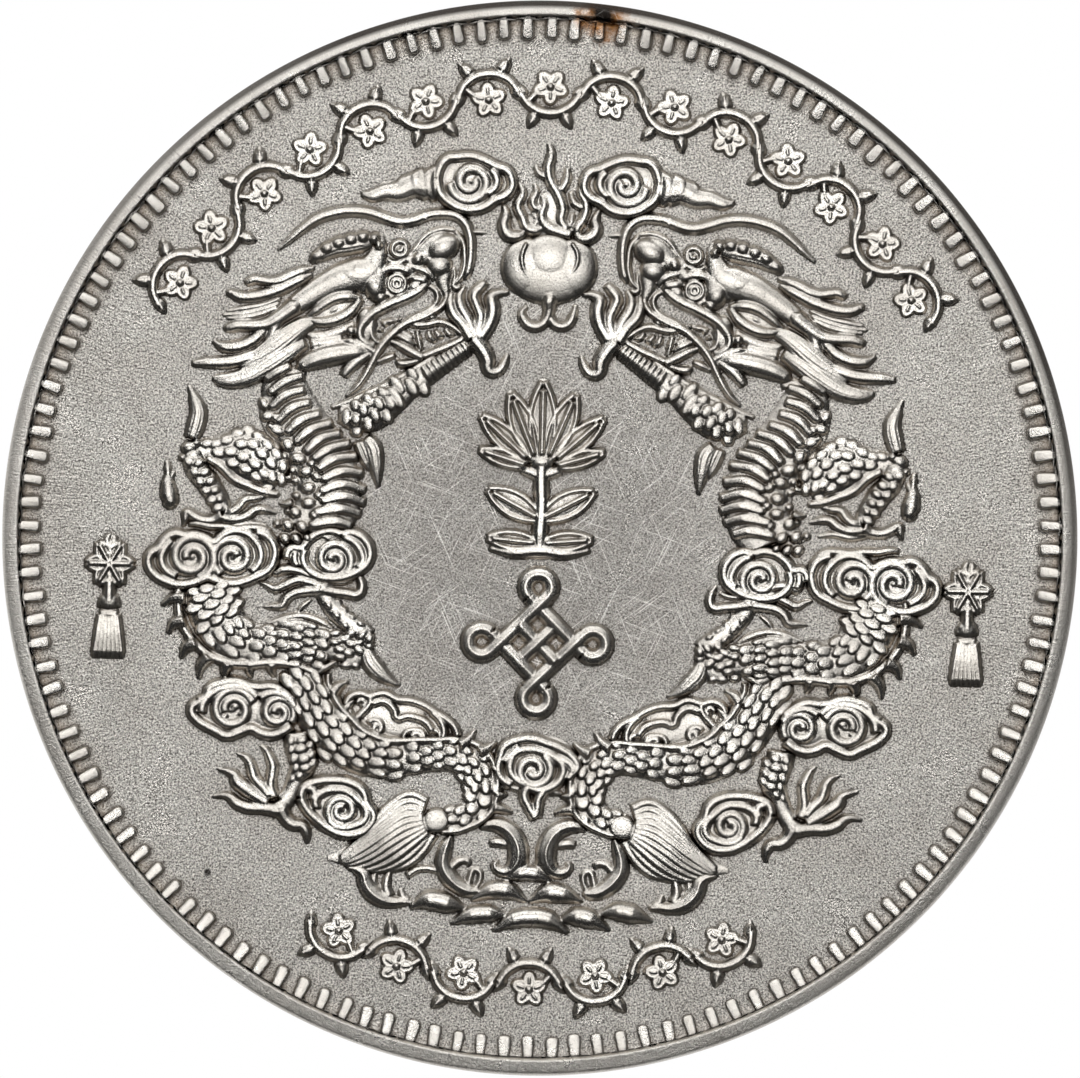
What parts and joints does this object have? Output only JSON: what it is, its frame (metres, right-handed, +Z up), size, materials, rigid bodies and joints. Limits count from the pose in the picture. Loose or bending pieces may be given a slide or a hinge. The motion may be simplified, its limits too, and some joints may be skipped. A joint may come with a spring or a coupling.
{
  "type": "silver tael coin",
  "caption": "Thick round silver coin lying flat: raised rims, toothed borders, reeded edge, two dragons about a flaming pearl.",
  "frame": {"origin": "middle of the surface the coin lies on, on its axis", "axes": "+Z up out of the dragon face, +Y towards the top of the design, +X to the right of the design"},
  "size_m": [0.041, 0.041, 0.0033],
  "materials": {
    "flan_silver": "circulated struck silver, fine satin grain",
    "border_silver": "struck silver, slightly toned",
    "dragon_silver": "struck silver, high points lightly polished by wear",
    "ornament_silver": "struck silver, satin"
  },
  "bodies": {
    "root": {"flan": "flan_silver", "back_border_teeth": "border_silver", "back_rosette": "ornament_silver", "back_wreath": "ornament_silver", "bottom_vine": "ornament_silver", "centre_cloud": "ornament_silver", "flaming_pearl": "dragon_silver", "front_border_teeth": "border_silver", "knot_ornament": "ornament_silver", "left_bent_foreleg": "dragon_silver", "left_body_coil": "dragon_silver", "left_chest_cloud": "ornament_silver", "left_drop": "ornament_silver", "left_elbow_tuft": "dragon_silver", "left_flank_cloud": "ornament_silver", "left_head": "dragon_silver", "left_hip_cloud": "ornament_silver", "left_inner_hindleg": "dragon_silver", "left_lower_body": "dragon_silver", "left_mane": "dragon_silver", "left_neck": "dragon_silver", "left_outer_hindleg": "dragon_silver", "left_raised_foreleg": "dragon_silver", "left_side_cloud": "ornament_silver", "left_tail_cloud": "ornament_silver", "left_tail_fan": "dragon_silver", "left_tassel": "ornament_silver", "left_top_cloud": "ornament_silver", "left_whisker": "dragon_silver", "lotus_ornament": "ornament_silver", "pearl_flames": "dragon_silver", "right_bent_foreleg": "dragon_silver", "right_body_coil": "dragon_silver", "right_chest_cloud": "ornament_silver", "right_drop": "ornament_silver", "right_elbow_tuft": "dragon_silver", "right_flank_cloud": "ornament_silver", "right_head": "dragon_silver", "right_hip_cloud": "ornament_silver", "right_inner_hindleg": "dragon_silver", "right_lower_body": "dragon_silver", "right_mane": "dragon_silver", "right_neck": "dragon_silver", "right_outer_hindleg": "dragon_silver", "right_raised_foreleg": "dragon_silver", "right_side_cloud": "ornament_silver", "right_tail_cloud": "ornament_silver", "right_tail_fan": "dragon_silver", "right_tassel": "ornament_silver", "right_top_cloud": "ornament_silver", "right_whisker": "dragon_silver", "top_vine": "ornament_silver", "waves_and_rocks": "ornament_silver"}
  },
  "joints": []
}
